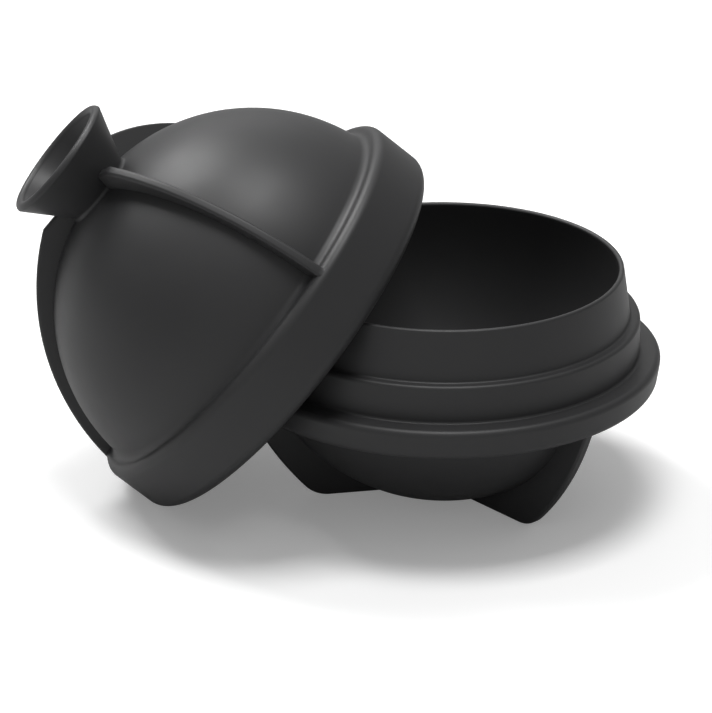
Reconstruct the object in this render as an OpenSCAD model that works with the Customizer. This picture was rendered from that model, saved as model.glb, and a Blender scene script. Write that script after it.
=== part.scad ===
// Two-piece silicone mold for one large ice ball. The lower half is a footed bowl with a tall lip.
// The upper half is a dome with a filling funnel, and its collar slips over the lip to close the mold.
// It is drawn open: the lower half stands on its feet and the upper half leans against its lip.

/* [Ball] */
// Diameter of the ice ball
ball_d = 63.5; // [50:0.5:80]
// Thickness of the shell round the ball
wall = 4; // [3.2:0.1:5]

/* [Lip and step of the lower half] */
// Height of the lip's rim above the middle of the ball
lip_rise = 7.3; // [5:0.1:9]
// Thickness of the lip at its rim
lip_wall = 1; // [0.8:0.1:1.8]
// How far the lip spreads from its rim down to its root
lip_spread = 1.3; // [0.5:0.1:1.6]
// Depth of the step's top below the middle of the ball
step_drop = 1.8; // [1:0.1:3.5]
// How far the step stands out past the lip's root
step_w = 1.8; // [1:0.1:2.4]
// Rounding of the step's upper edge
step_round = 0.7; // [0.3:0.1:1]

/* [Flange of the lower half] */
// Depth of the ledge below the middle of the ball
ledge_drop = 8.6; // [7:0.1:10.5]
// How far the flange stands out past the step
ledge_w = 3.8; // [3:0.1:5]
// Height of the flange's outer edge
flange_t = 5.5; // [4:0.1:7]
// Angle at which the flange's side leans in towards its lower edge
flange_draft = 8; // [0:1:14]
// Rounding of the ledge's outer edge
ledge_round = 1.1; // [0.4:0.1:1.6]
// Rounding of the flange's lower edge
flange_round = 1.6; // [0.6:0.1:2]
// Rounding of the crease under the flange
crease_round = 1.6; // [0.6:0.1:2]

/* [Feet of the lower half] */
// Number of feet
foot_n = 3; // [3:1:6]
// How far the feet would stand out from the bowl at the table, before their toes are rounded
foot_reach = 7.3; // [6:0.1:9]
// How far the feet's upper end stays inside the flange's side
foot_inset = 1.4; // [1:0.1:2.4]
// How much flatter the feet's outer edge is than the bowl, as added radius
foot_flat = 20; // [10:1:30]
// Thickness of a foot
foot_t = 2; // [1.4:0.1:3]
// Rounding where a foot's outer edge turns into its flat sole
toe_round = 6; // [2:0.5:8]
// How far the bowl stays off the table
foot_drop = 0.2; // [0.1:0.1:2]
// Direction of the first foot
foot_turn = -46; // [-180:0.5:180]

/* [Collar of the upper half] */
// Height of the collar
collar_h = 12; // [10.5:0.1:13]
// Rounding of the collar's upper edge
collar_round = 1.7; // [0.8:0.1:2]
// Rounding of the collar's lower outer edge
hem_round = 2.5; // [1:0.1:2.8]
// Rounding of the collar's lower inner edge
mouth_round = 0.5; // [0.2:0.1:0.8]
// Rounding of the crease between the collar and the dome, as far as the shoulder has room for it
dome_crease_round = 1.4; // [0.3:0.1:1.6]
// Clearance between the collar and the lip and step
fit_gap = 0.3; // [0.2:0.05:0.6]
// Clearance above the lip and the step when the mold is closed
seat_gap = 0.2; // [0.1:0.05:0.5]

/* [Funnel of the upper half] */
// Height of the funnel above the dome
funnel_rise = 9.5; // [8:0.1:13]
// Outer diameter of the funnel's mouth
funnel_mouth_d = 23.2; // [20:0.1:30]
// Outer diameter of the funnel where it leaves the dome
funnel_root_d = 13.6; // [12.6:0.1:16]
// Thickness of the funnel's mouth
funnel_wall = 2; // [1.4:0.1:2.4]
// Diameter of the filling hole
fill_d = 10; // [7:0.1:10.6]
// Rounding of the crease between the funnel and the dome
funnel_crease_round = 0.6; // [0.4:0.1:1.6]

/* [Fins of the upper half] */
// Number of fins
fin_n = 3; // [3:1:6]
// How far the fins' outer edge would stand above the dome on its axis
fin_rise = 6.3; // [5:0.1:8]
// How much flatter the fins' outer edge is than the dome, as added radius
fin_flat = 11; // [6:0.5:14]
// Height of the fins' flat upper end above the dome, beside the funnel
fin_crown = 2.6; // [2:0.1:3.2]
// Thickness of a fin
fin_t = 1.8; // [1.2:0.1:3]
// How far the fins stop short of the collar's side
fin_inset = 0.2; // [0.1:0.1:0.5]
// Direction of the first fin
fin_turn = -55; // [-180:0.5:180]

/* [Lean] */
// Tilt of the upper half as it leans
lean_tilt = 50; // [44:0.5:55]
// Turn of the leaning upper half away from the line between the two halves
lean_turn = 4.5; // [-12:0.5:12]
// Gap between the leaning collar and the lip
lean_gap = 0.3; // [0.2:0.05:0.8]

/* [Hidden] */

silicone_black = [0.17, 0.17, 0.175];
$fn = 96;

ball_r = ball_d / 2;
shell_r = ball_r + wall;
shell_mid_r = ball_r + wall / 2;

// Rim of the lip: a half round between the ball's surface and the lip's outer side
rim_round = lip_wall / 2;
rim_z = lip_rise - rim_round;
lip_top_r = sqrt(ball_r ^ 2 - rim_z ^ 2) + lip_wall;
lip_root_r = lip_top_r + lip_spread;
step_r = lip_root_r + step_w;
flange_r = step_r + ledge_w;
flange_floor = -ledge_drop - flange_t;

// Height of the ball's middle above the table
ball_z = shell_r + foot_drop;

// Middle of the circle of radius r through points a and b, on the side of the axis
function arc_middle(a, b, r) =
    let(half = (b - a) / 2)
    (a + b) / 2 + sqrt(r ^ 2 - half * half) * [half.y, -half.x] / norm(half);

// Outer edge of a foot: an arc from the flange's floor down to the table
foot_edge_r = shell_r + foot_flat;
foot_toe_r = sqrt((shell_r + foot_reach) ^ 2 - ball_z ^ 2);
foot_middle = arc_middle([flange_r - foot_inset, flange_floor], [foot_toe_r, -ball_z], foot_edge_r);

// The upper half is drawn about the middle of the ball, with its axis upright
collar_top = collar_h - ledge_drop;
pocket_r = step_r + fit_gap;
shoulder_end_r = flange_r - collar_round;
dome_crease_room = (shoulder_end_r ^ 2 - shell_r ^ 2 + collar_top ^ 2) / (2 * (shell_r - collar_top));
funnel_top = shell_r + funnel_rise;
funnel_lip_r = (funnel_mouth_d - funnel_wall) / 2;
funnel_lip_z = funnel_top - funnel_wall / 2;
funnel_half_angle = atan((funnel_mouth_d - funnel_root_d) / 2 / (funnel_lip_z - shell_r));
funnel_inner_r = funnel_mouth_d / 2 - funnel_wall;
funnel_root_mid_r = (fill_d + funnel_root_d) / 4;

// Outer edge of a fin: an arc from above the dome down to the collar's shoulder
fin_edge_r = shell_r + fin_flat;
fin_end_z = collar_top - collar_round;
fin_middle = arc_middle([0, shell_r + fin_rise], [flange_r - fin_inset, fin_end_z], fin_edge_r);

// A length past every outline, for cutting
past = 2 * (shell_r + funnel_rise);

// How far a rounding's circle is let into the surfaces that it runs into, so that they cross
tuck = 0.02;

// Height of the leaning collar's middle, with the collar's hem on the table
lean_z = (flange_r - hem_round) * sin(lean_tilt) + hem_round * (1 - cos(lean_tilt));

// Roundings that the leaning mouth could meet: [radius, height, rounding]
meeting_edges = [
    [lip_top_r - rim_round, ball_z + rim_z, rim_round],
    [step_r - step_round, ball_z - step_drop - step_round, step_round],
    [flange_r - ledge_round, ball_z - ledge_drop - ledge_round, ledge_round]
];

// A point of the leaning mouth's rounding at angle a, with the collar's middle x away from the bowl's axis
function mouth_point(x, a) =
    let(reach = (pocket_r + mouth_round) * cos(a),
        along = reach * cos(lean_tilt) - mouth_round * sin(lean_tilt),
        across = (pocket_r + mouth_round) * sin(a))
    [along * cos(lean_turn) - across * sin(lean_turn) - x,
     along * sin(lean_turn) + across * cos(lean_turn),
     reach * sin(lean_tilt) + mouth_round * cos(lean_tilt) + lean_z];

// Gap between that point and one of the lower half's roundings
function edge_gap(p, edge) =
    norm([norm([p.x, p.y]) - edge[0], p.z - edge[1]]) - edge[2] - mouth_round;

function leaning_gap(x) =
    min([for (a = [0:2:358], edge = meeting_edges) edge_gap(mouth_point(x, a), edge)]);

// The upper half moves up to the bowl by the room that is left, until the gap is as wanted
lean_slack = 0.01;
function lean_reach(x) =
    let(room = leaning_gap(x) - lean_gap) room < lean_slack ? x : lean_reach(x - room);
lean_x = lean_reach(2 * flange_r);

// Block from the axis out to radius r, with round outer corners
module rounded_block(r, low, high, low_round, high_round) {
    translate([0, low + low_round]) square([r, high - low - low_round - high_round]);
    translate([0, low]) square([r - low_round, high - low - high_round]);
    translate([0, low + low_round]) square([r - high_round, high - low - low_round]);
    translate([r - low_round, low + low_round]) circle(low_round);
    translate([r - high_round, high - high_round]) circle(high_round);
}

// Concave rounding in the crease above a flat at height z, where the round shell rises from it
module shell_crease(z, rounding) {
    reach = shell_r + rounding - tuck;
    centre_z = z + rounding - tuck;
    centre = [sqrt(reach ^ 2 - centre_z ^ 2), centre_z];
    difference() {
        polygon([
            [shell_mid_r - wall, z - rounding],
            [centre.x, z - rounding],
            centre,
            centre * shell_mid_r / reach,
            [shell_mid_r - wall, z]
        ]);
        translate(centre) circle(rounding);
    }
}

// Concave rounding in the crease between the funnel and the dome
module funnel_crease(rounding) {
    outward = [cos(funnel_half_angle), -sin(funnel_half_angle)];
    upward = [sin(funnel_half_angle), cos(funnel_half_angle)];
    root_wall = (funnel_root_d - fill_d) / 2;
    away = [funnel_root_d / 2, shell_r] * outward + rounding - tuck;
    reach = shell_r + rounding - tuck;
    centre = away * outward + sqrt(reach ^ 2 - away ^ 2) * upward;
    difference() {
        polygon([
            centre,
            centre - (rounding + root_wall / 4) * outward,
            [funnel_root_mid_r, shell_mid_r],
            centre * shell_mid_r / reach
        ]);
        translate(centre) circle(rounding);
    }
}

// Turns a section about the axis
module turned() {
    rotate_extrude() intersection() {
        children();
        translate([0, -past]) square([past, 2 * past]);
    }
}

// Cuts a turned section down to n upright plates round the axis
module plates(n, thickness, turn) {
    intersection() {
        turned() children();
        linear_extrude(2 * past, center = true)
            for (i = [0:n - 1])
                rotate(turn + i * 360 / n)
                    translate([-thickness / 4, -thickness / 2]) square([past, thickness]);
    }
}

// Section of the flange: a block whose side leans in towards its lower edge, with round outer corners
module flange_section() {
    outward = [cos(flange_draft), -sin(flange_draft)];
    upper = [flange_r - ledge_round, -ledge_drop - ledge_round];
    lower_z = flange_floor + flange_round;
    inward = (flange_round - ledge_round) / cos(flange_draft) + (upper.y - lower_z) * tan(flange_draft);
    lower = [upper.x - inward, lower_z];
    polygon([
        [0, flange_floor],
        [lower.x, flange_floor],
        lower + (flange_round - tuck) * outward,
        upper + (ledge_round - tuck) * outward,
        [upper.x, -ledge_drop],
        [0, -ledge_drop]
    ]);
    translate(lower) circle(flange_round);
    translate(upper) circle(ledge_round);
}

// Section of the bowl with its flange, step and lip, about the middle of the ball
module lower_section() {
    difference() {
        union() {
            intersection() {
                circle(shell_r);
                translate([0, -past - ledge_drop]) square([past, past]);
            }
            mirror([0, 1]) shell_crease(-flange_floor, crease_round);
            flange_section();
            rounded_block(step_r, -ledge_drop - step_round, -step_drop, step_round, step_round);
            polygon([[0, -ledge_drop], [lip_root_r, -ledge_drop], [lip_root_r, -step_drop],
                     [lip_top_r, rim_z], [0, rim_z]]);
            translate([lip_top_r - rim_round, rim_z]) circle(rim_round);
        }
        circle(ball_r);
    }
}

// Outline of one foot: from under the flange down to the table, with a flat sole and a rounded toe
module foot_outline() {
    sole = -ball_z;
    toe_z = sole + toe_round - tuck;
    toe_reach = foot_edge_r - toe_round + tuck;
    toe = [foot_middle.x + sqrt(toe_reach ^ 2 - (toe_z - foot_middle.y) ^ 2), toe_z];
    toe_end = foot_middle + (toe - foot_middle) * (foot_edge_r + toe_round) / toe_reach;
    difference() {
        intersection() {
            translate(foot_middle) circle(foot_edge_r);
            translate([0, sole]) square([past, flange_floor + flange_t / 2 - sole]);
        }
        circle(shell_mid_r);
        difference() {
            polygon([toe, [toe.x, sole - toe_round], [toe_end.x, sole - toe_round], toe_end]);
            translate(toe) circle(toe_round);
        }
    }
}

module lower_half() {
    color(silicone_black)
        translate([0, 0, ball_z]) {
            turned() lower_section();
            plates(foot_n, foot_t, foot_turn) foot_outline();
        }
}

// What the upper half leaves free: the pocket for lip and step, the ball, the filling hole and the funnel
module upper_hollow() {
    shoulder = lip_rise + seat_gap;
    step_shoulder = seat_gap - step_drop;
    polygon([
        [0, -ledge_drop - wall],
        [pocket_r, -ledge_drop - wall],
        [pocket_r, step_shoulder],
        [lip_root_r + fit_gap, step_shoulder],
        [lip_top_r + fit_gap, shoulder],
        [0, shoulder]
    ]);
    difference() {
        polygon([[0, -ledge_drop - wall], [pocket_r + mouth_round, -ledge_drop - wall],
                 [pocket_r + mouth_round, mouth_round - ledge_drop], [0, mouth_round - ledge_drop]]);
        translate([pocket_r + mouth_round, mouth_round - ledge_drop]) circle(mouth_round);
    }
    intersection() {
        circle(ball_r);
        square([past, past]);
    }
    square([fill_d / 2, past]);
    polygon([[0, shell_r], [fill_d / 2, shell_r], [funnel_inner_r, funnel_lip_z],
             [funnel_inner_r, past], [0, past]]);
}

// Section of the dome with its collar and funnel, about the middle of the ball
module upper_section() {
    difference() {
        union() {
            intersection() {
                circle(shell_r);
                square([past, past]);
            }
            shell_crease(collar_top, min(dome_crease_round, dome_crease_room));
            rounded_block(flange_r, -ledge_drop, collar_top, hem_round, collar_round);
            polygon([[0, shell_mid_r], [funnel_root_d / 2, shell_mid_r], [funnel_root_d / 2, shell_r],
                     [funnel_mouth_d / 2, funnel_lip_z], [0, funnel_lip_z]]);
            funnel_crease(funnel_crease_round);
        }
        upper_hollow();
    }
    translate([funnel_lip_r, funnel_lip_z]) circle(funnel_wall / 2);
}

// Outline of one fin, from the funnel's side down to the collar's shoulder
module fin_outline() {
    difference() {
        intersection() {
            translate(fin_middle) circle(fin_edge_r);
            translate([0, fin_end_z]) square([past, shell_r + fin_crown - fin_end_z]);
        }
        circle(shell_mid_r);
        polygon([[0, 0], [funnel_root_mid_r, 0], [funnel_root_mid_r, shell_r],
                 [funnel_lip_r, funnel_top], [0, funnel_top]]);
    }
}

module upper_half() {
    color(silicone_black)
        translate([-lean_x, 0, lean_z])
            rotate([0, -lean_tilt, lean_turn])
                translate([0, 0, ledge_drop]) {
                    turned() upper_section();
                    plates(fin_n, fin_t, fin_turn) fin_outline();
                }
}

lower_half();
upper_half();
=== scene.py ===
from math import acos, asin, atan2, cos, degrees, hypot, pi, radians, sin, sqrt, tan

import bpy
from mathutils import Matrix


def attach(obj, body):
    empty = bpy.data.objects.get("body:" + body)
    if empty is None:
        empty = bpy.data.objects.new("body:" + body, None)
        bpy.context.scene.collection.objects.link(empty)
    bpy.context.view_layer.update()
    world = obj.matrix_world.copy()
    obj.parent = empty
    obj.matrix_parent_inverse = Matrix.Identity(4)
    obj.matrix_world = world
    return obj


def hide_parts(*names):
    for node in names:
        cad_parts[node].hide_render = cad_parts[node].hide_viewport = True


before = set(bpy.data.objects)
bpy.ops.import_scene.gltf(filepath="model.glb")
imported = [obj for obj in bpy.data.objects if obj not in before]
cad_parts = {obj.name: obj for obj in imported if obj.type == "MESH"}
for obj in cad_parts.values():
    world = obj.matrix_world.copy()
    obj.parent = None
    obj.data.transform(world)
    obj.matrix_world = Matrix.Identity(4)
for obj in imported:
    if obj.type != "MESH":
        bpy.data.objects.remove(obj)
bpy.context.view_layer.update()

# Lower half: the bowl of the mold, one moulding of black silicone that stands on the table.
# Its wall is turned from one outline, from the pole outside over the flange, the step and the thin lip
# to the pole inside. Lengths are in millimetres, and heights count from the middle of the ice ball.
mm = 0.001
ball_r = 31.75
wall = 4.0
shell_r = ball_r + wall
ball_z = 35.95
lip_rise = 7.3
rim_round = 0.5
rim_z = lip_rise - rim_round
lip_top_r = sqrt(ball_r**2 - rim_z**2) + 2 * rim_round
lip_spread = 1.3
lip_root_r = lip_top_r + lip_spread
lip_crease = 0.4
step_width = 1.8
step_r = lip_root_r + step_width
step_z = -1.8
step_round = 0.7
step_crease = 0.5
ledge_width = 3.8
ledge_z = -8.6
ledge_round = 1.1
flange_r = step_r + ledge_width
flange_thick = 5.5
flange_z = ledge_z - flange_thick
flange_round = 1.6
flange_draft = 8.0
flange_crease = 1.6
turning_steps = 192
merge_gap = 0.001


def arc(middle, radius, start, end, steps):
    """Points on an arc in the XZ plane, from one angle to another in degrees."""
    angles = [radians(start + (end - start) * i / steps) for i in range(steps + 1)]
    return [(middle[0] + radius * cos(a), 0.0, middle[1] + radius * sin(a)) for a in angles]


def draw(name, points):
    """A wire through the points, extruded from each to the next. It is left in edit mode."""
    bpy.ops.object.select_all(action="DESELECT")
    bpy.ops.mesh.primitive_plane_add(size=mm)
    wire = bpy.context.object
    wire.name = name
    bpy.ops.object.mode_set(mode="EDIT")
    bpy.ops.mesh.select_mode(type="VERT")
    bpy.ops.mesh.select_all(action="SELECT")
    bpy.ops.mesh.merge(type="CENTER")
    bpy.ops.transform.translate(value=[mm * c for c in points[0]])
    for last, point in zip(points, points[1:]):
        step = [mm * (b - a) for a, b in zip(last, point)]
        bpy.ops.mesh.extrude_vertices_move(TRANSFORM_OT_translate={"value": step})
    bpy.ops.mesh.select_all(action="SELECT")
    bpy.ops.mesh.remove_doubles(threshold=merge_gap * mm)
    return wire


def turn_on_axis():
    """Spins the drawn outline once round the Z axis, and closes its seam and poles."""
    bpy.ops.mesh.spin(steps=turning_steps, angle=2 * pi, center=(0, 0, 0), axis=(0, 0, 1))
    bpy.ops.mesh.select_all(action="SELECT")
    bpy.ops.mesh.remove_doubles(threshold=merge_gap * mm)
    bpy.ops.mesh.normals_make_consistent(inside=False)
    bpy.ops.object.mode_set(mode="OBJECT")


def shell_crease(flat_z, rounding):
    """Middle of the hollow rounding between the shell's outside and a flat at that height."""
    side = 1 if flat_z > 0 else -1
    z = flat_z + side * rounding
    return (sqrt((shell_r + rounding) ** 2 - z**2), z)


under_flange = shell_crease(flange_z, flange_crease)
under_flange_angle = degrees(atan2(under_flange[1], under_flange[0]))
ledge_edge = (flange_r - ledge_round, ledge_z - ledge_round)
draft = radians(flange_draft)
flange_edge_z = flange_z + flange_round
flange_lean = (ledge_edge[1] - flange_edge_z) * tan(draft)
flange_edge_x = ledge_edge[0] - flange_lean - (flange_round - ledge_round) / cos(draft)
lip_slope = degrees(atan2(lip_spread, rim_z - step_z))
lip_crease_x = lip_root_r + lip_crease * (1 - sin(radians(lip_slope))) / cos(radians(lip_slope))
bowl_outline = (
    arc((0, 0), shell_r, -90, under_flange_angle, steps=40)
    + arc(under_flange, flange_crease, 180 + under_flange_angle, 90, steps=6)
    + arc((flange_edge_x, flange_edge_z), flange_round, -90, -flange_draft, steps=8)
    + arc(ledge_edge, ledge_round, -flange_draft, 90, steps=8)
    + arc((step_r + step_crease, ledge_z + step_crease), step_crease, -90, -180, steps=5)
    + arc((step_r - step_round, step_z - step_round), step_round, 0, 90, steps=5)
    + arc((lip_crease_x, step_z + lip_crease), lip_crease, -90, lip_slope - 180, steps=5)
    + arc((lip_top_r - rim_round, rim_z), rim_round, 0, 180, steps=10)
    + arc((0, 0), ball_r, degrees(asin(rim_z / ball_r)), -90, steps=48)
)
lower_half = draw("lower_half_silicone", bowl_outline)
turn_on_axis()

# Feet: three upright plates that are moulded on under the bowl, with round edges and a flat sole.
# The outer edge of each is an arc, flatter than the bowl, from under the flange to the toe.
# They run up into the flange and meet the bowl in a plain crease.
foot_count = 3
foot_turn = -46.0
foot_thick = 2.0
foot_edge_round = 0.5
foot_flat = 20.0
foot_reach = 7.3
foot_inset = 1.4
foot_in_flange = 2.7
toe_round = 6.0
sharp_angle = 40.0
touching = 0.01


def arc_middle(first, last, radius):
    """Middle of the circle of that radius through two points, on the side of the axis."""
    half = ((last[0] - first[0]) / 2, (last[1] - first[1]) / 2)
    away = sqrt((radius / hypot(*half)) ** 2 - 1)
    return (first[0] + half[0] + away * half[1], first[1] + half[1] - away * half[0])


def plate(name, outline, thickness, edge_round, on_edge):
    """A flat plate with that outline across the XZ plane, its edges rounded where on_edge says so."""
    piece = draw(name, outline + outline[:1])
    bpy.ops.mesh.edge_face_add()
    bpy.ops.transform.translate(value=(0, -thickness / 2 * mm, 0))
    bpy.ops.mesh.extrude_region_move(TRANSFORM_OT_translate={"value": (0, thickness * mm, 0)})
    bpy.ops.mesh.select_all(action="SELECT")
    bpy.ops.mesh.normals_make_consistent(inside=False)
    bpy.ops.mesh.select_all(action="DESELECT")
    bpy.ops.mesh.select_mode(type="EDGE")
    bpy.ops.object.mode_set(mode="OBJECT")
    for edge in piece.data.edges:
        ends = [piece.data.vertices[i].co / mm for i in edge.vertices]
        along = abs(ends[0].y - ends[1].y) < touching
        edge.select = along and all(on_edge(end) for end in ends)
    bpy.ops.object.mode_set(mode="EDIT")
    bpy.ops.mesh.bevel(offset=edge_round * mm, segments=5, affect="EDGES")
    bpy.ops.object.mode_set(mode="OBJECT")
    return piece


def pick(piece):
    """Selects one piece and makes it the active one."""
    bpy.ops.object.select_all(action="DESELECT")
    piece.select_set(True)
    bpy.context.view_layer.objects.active = piece


def settle(piece):
    """Puts a piece's turn and place into its mesh."""
    pick(piece)
    bpy.ops.object.transform_apply()


def weld(piece, added):
    """Makes one closed skin of two pieces."""
    bpy.context.view_layer.objects.active = piece
    joint = piece.modifiers.new("weld", "BOOLEAN")
    joint.operation = "UNION"
    joint.solver = "EXACT"
    joint.object = added
    bpy.ops.object.modifier_apply(modifier=joint.name)
    bpy.data.objects.remove(added)


def weld_round(piece, plate_piece, count, first_turn):
    """Copies a plate round the axis and welds each copy on."""
    for i in range(count):
        pick(plate_piece)
        bpy.ops.object.duplicate()
        copy = bpy.context.object
        copy.rotation_euler.z = radians(first_turn + i * 360 / count)
        settle(copy)
        weld(piece, copy)
    bpy.data.objects.remove(plate_piece)


def smooth(piece):
    """Smooth shading that follows the large faces, so that the welds stay clean."""
    pick(piece)
    bpy.ops.object.shade_smooth_by_angle(angle=radians(sharp_angle))
    weighted = piece.modifiers.new("weighted", "WEIGHTED_NORMAL")
    weighted.keep_sharp = True
    bpy.ops.object.modifier_apply(modifier=weighted.name)


sole_z = -ball_z
foot_top_z = flange_z + foot_in_flange
foot_edge_r = shell_r + foot_flat
foot_toe_r = sqrt((shell_r + foot_reach) ** 2 - sole_z**2)
foot_middle = arc_middle((flange_r - foot_inset, flange_z), (foot_toe_r, sole_z), foot_edge_r)
foot_top_angle = degrees(asin((foot_top_z - foot_middle[1]) / foot_edge_r))
toe_z = sole_z + toe_round
toe_reach = sqrt((foot_edge_r - toe_round) ** 2 - (toe_z - foot_middle[1]) ** 2)
toe = (foot_middle[0] + toe_reach, toe_z)
toe_angle = degrees(atan2(toe_z - foot_middle[1], toe_reach))
wall_mid_r = (ball_r + shell_r) / 2
foot_outline = (
    arc(foot_middle, foot_edge_r, foot_top_angle, toe_angle, steps=24)
    + arc(toe, toe_round, toe_angle, -90, steps=8)
    + [(0.0, 0.0, sole_z)]
    + arc((0, 0), wall_mid_r, -90, degrees(asin(foot_top_z / wall_mid_r)), steps=32)
)
foot = plate(
    "foot",
    foot_outline,
    foot_thick,
    foot_edge_round,
    lambda end: end.xz.length > shell_r + touching and end.z < foot_top_z + touching,
)
weld_round(lower_half, foot, foot_count, foot_turn)
lower_half.location.z = ball_z * mm
settle(lower_half)
smooth(lower_half)

# Silicone of both halves: one black compound with a satin skin and the fine grain of the tool.
# A faint cloudy bloom and small wipe marks change its tint and its sheen a little from place to place.
deep_black = (0.027, 0.027, 0.0278, 1)
dusty_black = (0.034, 0.034, 0.0350, 1)
satin = 0.40
bloom_haze = 0.09
wipe_haze = 0.05
grain_depth = 0.03
bowl_shift = (0.0, 0.0, 0.0)


class Shade:
    """One output of a shader node. A sum or product of outputs adds the Math node for it."""

    def __init__(self, tree, output=None):
        self.tree = tree
        self.output = output

    def node(self, kind, settings, sockets, output=0):
        """Any other node: its settings first, then the values and links of its sockets."""
        made = self.tree.nodes.new(kind)
        for name, value in settings.items():
            setattr(made, name, value)
        for name, value in sockets.items():
            if isinstance(value, Shade):
                self.tree.links.new(value.output, made.inputs[name])
            else:
                made.inputs[name].default_value = value
        return Shade(self.tree, made.outputs[output] if made.outputs else None)

    def maths(self, operation, first, second):
        return self.node("ShaderNodeMath", {"operation": operation}, {0: first, 1: second})

    def __add__(self, other):
        return self.maths("ADD", self, other)

    def __mul__(self, other):
        return self.maths("MULTIPLY", self, other)

    def __sub__(self, other):
        return self.maths("SUBTRACT", self, other)

    def __rsub__(self, other):
        return self.maths("SUBTRACT", other, self)

    __radd__ = __add__
    __rmul__ = __mul__


def black_silicone(name, shift):
    """Moulded silicone. The shift keeps the two halves from having the same clouds."""
    material = bpy.data.materials.new(name)
    material.use_nodes = True
    tree = material.node_tree
    tree.nodes.clear()
    start = Shade(tree)
    place = start.node("ShaderNodeTexCoord", {}, {}, "Object")
    shifted = start.node("ShaderNodeMapping", {}, {"Vector": place, "Location": shift})
    bloom = start.node("ShaderNodeTexNoise", {}, {"Vector": shifted, "Scale": 55.0, "Detail": 4.0})
    grain = start.node("ShaderNodeTexNoise", {}, {"Vector": shifted, "Scale": 2600.0, "Detail": 2.0})
    wipes = start.node("ShaderNodeTexNoise", {}, {"Vector": shifted, "Scale": 220.0, "Detail": 3.0})
    tint = start.node(
        "ShaderNodeMix",
        {"data_type": "RGBA"},
        {"Factor": bloom, "A": deep_black, "B": dusty_black},
        "Result",
    )
    rough = satin + bloom_haze * bloom + wipe_haze * wipes
    skin = start.node(
        "ShaderNodeBump",
        {},
        {"Strength": 0.25, "Distance": grain_depth * mm, "Height": grain},
    )
    surface = start.node(
        "ShaderNodeBsdfPrincipled",
        {},
        {"Base Color": tint, "Roughness": rough, "Normal": skin, "IOR": 1.43},
    )
    start.node("ShaderNodeOutputMaterial", {}, {"Surface": surface})
    return material


lower_half.data.materials.clear()
lower_half.data.materials.append(black_silicone("bowl_silicone", bowl_shift))
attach(lower_half, "lower")
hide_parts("lower_half")

# Upper half: the dome of the mold with its collar and filling funnel, one moulding of the same silicone.
# The turned outline runs from the collar's hem up over the dome and the funnel, and down through the
# filling hole and along the hollow, whose pocket takes the lip and the step of the lower half.
fit_gap = 0.3
seat_gap = 0.2
mouth_round = 0.5
hem_round = 2.5
collar_top_z = 3.4
collar_round = 1.7
collar_crease = 1.4
funnel_rise = 9.5
funnel_root_r = 6.8
funnel_mouth_r = 11.6
funnel_crease = 0.6
funnel_lip_round = 1.0
fill_r = 5.0
fill_round = 0.4

pocket_r = step_r + fit_gap
shoulder_z = rim_z + rim_round + seat_gap
step_shoulder_z = step_z + seat_gap
over_collar = shell_crease(collar_top_z, collar_crease)
over_collar_angle = degrees(atan2(over_collar[1], over_collar[0]))
funnel_root = (funnel_root_r, shell_r)
funnel_edge = (funnel_mouth_r, shell_r + funnel_rise - funnel_lip_round)
cone = (funnel_edge[0] - funnel_root[0], funnel_edge[1] - funnel_root[1])
cone_length = sqrt(cone[0] ** 2 + cone[1] ** 2)
cone_up = (cone[0] / cone_length, cone[1] / cone_length)
cone_out = (cone_up[1], -cone_up[0])
cone_away = funnel_root[0] * cone_out[0] + funnel_root[1] * cone_out[1] + funnel_crease
cone_reach = sqrt((shell_r + funnel_crease) ** 2 - cone_away**2)
at_funnel = (
    cone_away * cone_out[0] + cone_reach * cone_up[0],
    cone_away * cone_out[1] + cone_reach * cone_up[1],
)
at_funnel_angle = degrees(atan2(at_funnel[1], at_funnel[0]))
cone_angle = degrees(atan2(cone_out[1], cone_out[0]))
hole_z = sqrt(ball_r**2 - fill_r**2)
hole_angle = degrees(asin(hole_z / ball_r))
dome_outline = (
    arc((pocket_r + mouth_round, ledge_z + mouth_round), mouth_round, 180, 270, steps=5)
    + arc((flange_r - hem_round, ledge_z + hem_round), hem_round, -90, 0, steps=12)
    + arc((flange_r - collar_round, collar_top_z - collar_round), collar_round, 0, 90, steps=10)
    + arc(over_collar, collar_crease, -90, over_collar_angle - 180, steps=6)
    + arc((0, 0), shell_r, over_collar_angle, at_funnel_angle, steps=44)
    + arc(at_funnel, funnel_crease, at_funnel_angle + 180, cone_angle + 180, steps=8)
    + arc((funnel_edge[0] - funnel_lip_round, funnel_edge[1]), funnel_lip_round, 0, 180, steps=12)
    + [(fill_r + fill_round * cone_up[0], 0.0, shell_r + fill_round * cone_up[1])]
    + [(fill_r, 0.0, shell_r - fill_round)]
    + [(fill_r, 0.0, hole_z)]
    + arc((0, 0), ball_r, hole_angle, degrees(asin(shoulder_z / ball_r)), steps=40)
    + [(lip_top_r + fit_gap, 0.0, shoulder_z)]
    + [(lip_root_r + fit_gap, 0.0, step_shoulder_z)]
    + [(pocket_r, 0.0, step_shoulder_z)]
)
upper_half = draw("upper_half_silicone", dome_outline + dome_outline[:1])
turn_on_axis()

# Fins: three upright plates on the dome, from the funnel's wall to the collar's shoulder.
# They are moulded on like the feet. Their round outer edge is an arc that ends flat at the funnel.
# With its fins on, the upper half lies on its hem, tilted against the lip of the lower half.
fin_count = 3
fin_turn = -55.0
fin_thick = 1.8
fin_edge_round = 0.55
fin_flat = 11.0
fin_rise = 6.3
fin_crown = 2.6
fin_inset = 0.2
fin_start_x = 4.0
lean_tilt = 50.0
lean_turn = 4.5
lean_x = -27.8086
lean_z = 28.7872
dome_shift = (0.31, 0.17, 0.05)

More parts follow.
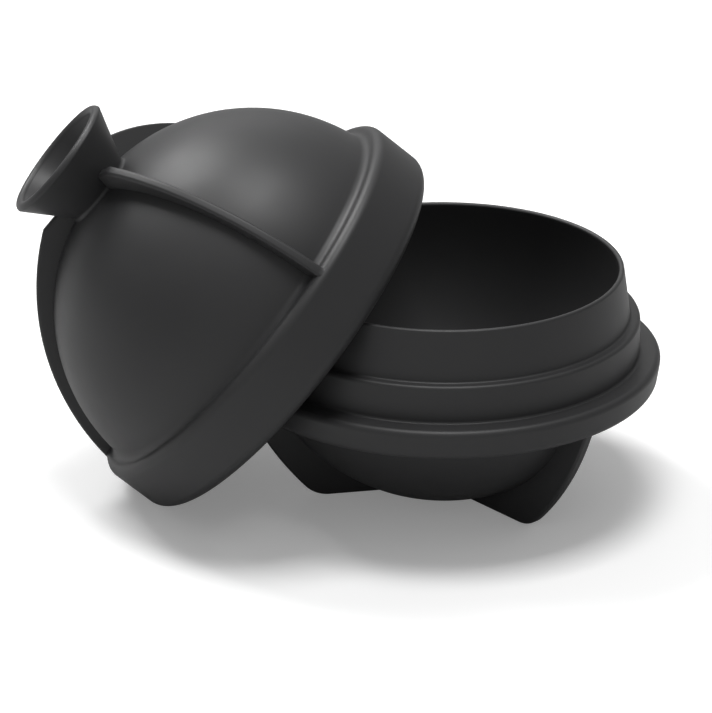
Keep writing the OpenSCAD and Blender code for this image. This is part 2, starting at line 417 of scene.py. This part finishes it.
fin_edge_r = shell_r + fin_flat
fin_end = (flange_r - fin_inset, collar_top_z - collar_round)
fin_middle = arc_middle((0, shell_r + fin_rise), fin_end, fin_edge_r)
fin_crown_z = shell_r + fin_crown
fin_end_angle = degrees(asin((fin_end[1] - fin_middle[1]) / fin_edge_r))
fin_crown_angle = degrees(asin((fin_crown_z - fin_middle[1]) / fin_edge_r))
fin_root_angle = degrees(acos(fin_start_x / wall_mid_r))
fin_foot_angle = degrees(asin(fin_end[1] / wall_mid_r))
fin_outline = (
    arc(fin_middle, fin_edge_r, fin_end_angle, fin_crown_angle, steps=48)
    + [(fin_start_x, 0.0, fin_crown_z)]
    + arc((0, 0), wall_mid_r, fin_root_angle, fin_foot_angle, steps=40)
)
fin = plate(
    "fin",
    fin_outline,
    fin_thick,
    fin_edge_round,
    lambda end: end.z > fin_crown_z - touching
    or hypot(end.x - fin_middle[0], end.z - fin_middle[1]) > fin_edge_r - touching,
)
funnel_mid = ((fill_r + funnel_root[0]) / 2, shell_r)
funnel_mid_tilt = atan2(funnel_edge[0] - funnel_lip_round - funnel_mid[0], funnel_edge[1] - shell_r)
bpy.ops.object.mode_set(mode="EDIT")
bpy.ops.mesh.select_all(action="SELECT")
bpy.ops.mesh.bisect(
    plane_co=(funnel_mid[0] * mm, 0, funnel_mid[1] * mm),
    plane_no=(cos(funnel_mid_tilt), 0, -sin(funnel_mid_tilt)),
    use_fill=True,
    clear_inner=True,
)
bpy.ops.object.mode_set(mode="OBJECT")
weld_round(upper_half, fin, fin_count, fin_turn)
upper_half.location.z = -ledge_z * mm
settle(upper_half)
upper_half.rotation_euler = (0, radians(-lean_tilt), radians(lean_turn))
upper_half.location = (lean_x * mm, 0, lean_z * mm)
settle(upper_half)
smooth(upper_half)
upper_half.data.materials.clear()
upper_half.data.materials.append(black_silicone("dome_silicone", dome_shift))
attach(upper_half, "upper")
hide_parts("upper_half")

# Table top: white paper that keeps the mold's shadow and fades to plain white further off.
# Only the camera sees that white. What it gives back to the mold is a duller paper. Lengths are in metres
# from here on.
table_size = 8.0
table_gap = 0.02 * mm
shadow_end = 0.3
white_start = 0.7
dull_paper = (0.6, 0.6, 0.6, 1)
clean_paper = (0.95, 0.95, 0.95, 1)
plain_white = (1, 1, 1, 1)
paper_glow = 0.19

bpy.ops.object.select_all(action="DESELECT")
bpy.ops.mesh.primitive_plane_add(size=table_size, location=(0, 0, -table_gap))
table_top = bpy.context.object
table_top.name = "table_top"
settle(table_top)
paper = bpy.data.materials.new("white_paper")
paper.use_nodes = True
paper.node_tree.nodes.clear()
sheet = Shade(paper.node_tree)
seen = sheet.node("ShaderNodeLightPath", {}, {}, "Is Camera Ray")
matt = sheet.node("ShaderNodeBsdfDiffuse", {}, {"Color": dull_paper})
lit = sheet.node("ShaderNodeBsdfDiffuse", {}, {"Color": clean_paper})
glow = sheet.node("ShaderNodeEmission", {}, {"Color": plain_white, "Strength": paper_glow})
bright = sheet.node("ShaderNodeAddShader", {}, {0: lit, 1: glow})
on_table = sheet.node("ShaderNodeTexCoord", {}, {}, "Object")
distance = sheet.node("ShaderNodeVectorMath", {"operation": "LENGTH"}, {0: on_table}, "Value")
fade = sheet.node(
    "ShaderNodeMapRange",
    {},
    {"Value": distance, "From Min": shadow_end, "From Max": white_start},
)
white = sheet.node("ShaderNodeEmission", {}, {"Color": plain_white, "Strength": 1.0})
shown = sheet.node("ShaderNodeMixShader", {}, {0: fade, 1: bright, 2: white})
both = sheet.node("ShaderNodeMixShader", {}, {0: seen, 1: matt, 2: shown})
sheet.node("ShaderNodeOutputMaterial", {}, {"Surface": both})
table_top.data.materials.append(paper)

# Room: an even white light all round. The camera sees it as plain white, and the silicone's sheen sees
# it dimmer, most so at the left and the right.
room_light = 0.35
sheen_light = 0.44
sheen_drop = 0.3

world = bpy.data.worlds.new("studio")
bpy.context.scene.world = world
world.use_nodes = True
world.node_tree.nodes.clear()
sky = Shade(world.node_tree)
camera_ray = sky.node("ShaderNodeLightPath", {}, {}, "Is Camera Ray")
glossy_ray = sky.node("ShaderNodeLightPath", {}, {}, "Is Glossy Ray")
through_ray = sky.node("ShaderNodeLightPath", {}, {}, "Is Transmission Ray")
aim = sky.node("ShaderNodeTexCoord", {}, {}, "Generated")
aside = sky.node("ShaderNodeSeparateXYZ", {}, {"Vector": aim}, "X")
mirrored_light = sheen_light - sheen_drop * aside * aside
mirrored_part = glossy_ray * (mirrored_light - room_light)
white_part = (camera_ray + through_ray) * (1 - room_light)
strength = room_light + mirrored_part + white_part
air = sky.node("ShaderNodeBackground", {}, {"Color": plain_white, "Strength": strength})
sky.node("ShaderNodeOutputWorld", {}, {"Surface": air})

# Lamps: a soft box behind the mold on the left, one straight above it, and a weak one at the back.
# All face the middle of the mold, and together with the room they give the photo's highlights.
mold_middle = (-0.016, 0.0, 0.03)


def soft_box(name, toward, away, width, height, power):
    """An area lamp in a direction from the mold's middle, turned to face it."""
    bpy.ops.object.select_all(action="DESELECT")
    length = sqrt(sum(c * c for c in toward))
    spot = [c / length * away for c in toward]
    flat = sqrt(spot[0] ** 2 + spot[1] ** 2)
    bpy.ops.object.light_add(
        type="AREA",
        location=[a + b for a, b in zip(spot, mold_middle)],
        rotation=(atan2(flat, spot[2]), 0, atan2(spot[0], -spot[1])),
    )
    lamp = bpy.context.object
    lamp.name = name
    lamp.data.shape = "RECTANGLE"
    lamp.data.size = width
    lamp.data.size_y = height
    lamp.data.energy = power


soft_box("box_behind", (-0.478, 0.405, 0.780), away=0.9, width=0.32, height=0.32, power=5.0)
soft_box("box_above", (0.027, -0.042, 0.999), away=0.9, width=0.35, height=0.35, power=4.6)
soft_box("box_back", (-0.15, 0.85, 0.5), away=1.0, width=0.5, height=0.3, power=0.45)

# Camera: it stands where the photo's did, as fitted to the outlines of both halves.
# Its lens is a long one, with the focal length counted in pixels of the photo.
camera_place = (0.015924, -0.582294, 0.269084)
view_pitch = 22.726
view_yaw = 3.125
focal_pixels = 3500
image_width = 712

bpy.ops.object.camera_add(
    location=camera_place,
    rotation=(radians(90 - view_pitch), 0, radians(view_yaw)),
)
camera = bpy.context.object
camera.data.sensor_fit = "HORIZONTAL"
camera.data.sensor_width = 36.0
camera.data.lens = camera.data.sensor_width * focal_pixels / image_width
bpy.context.scene.camera = camera
bpy.context.scene.view_settings.view_transform = "Standard"
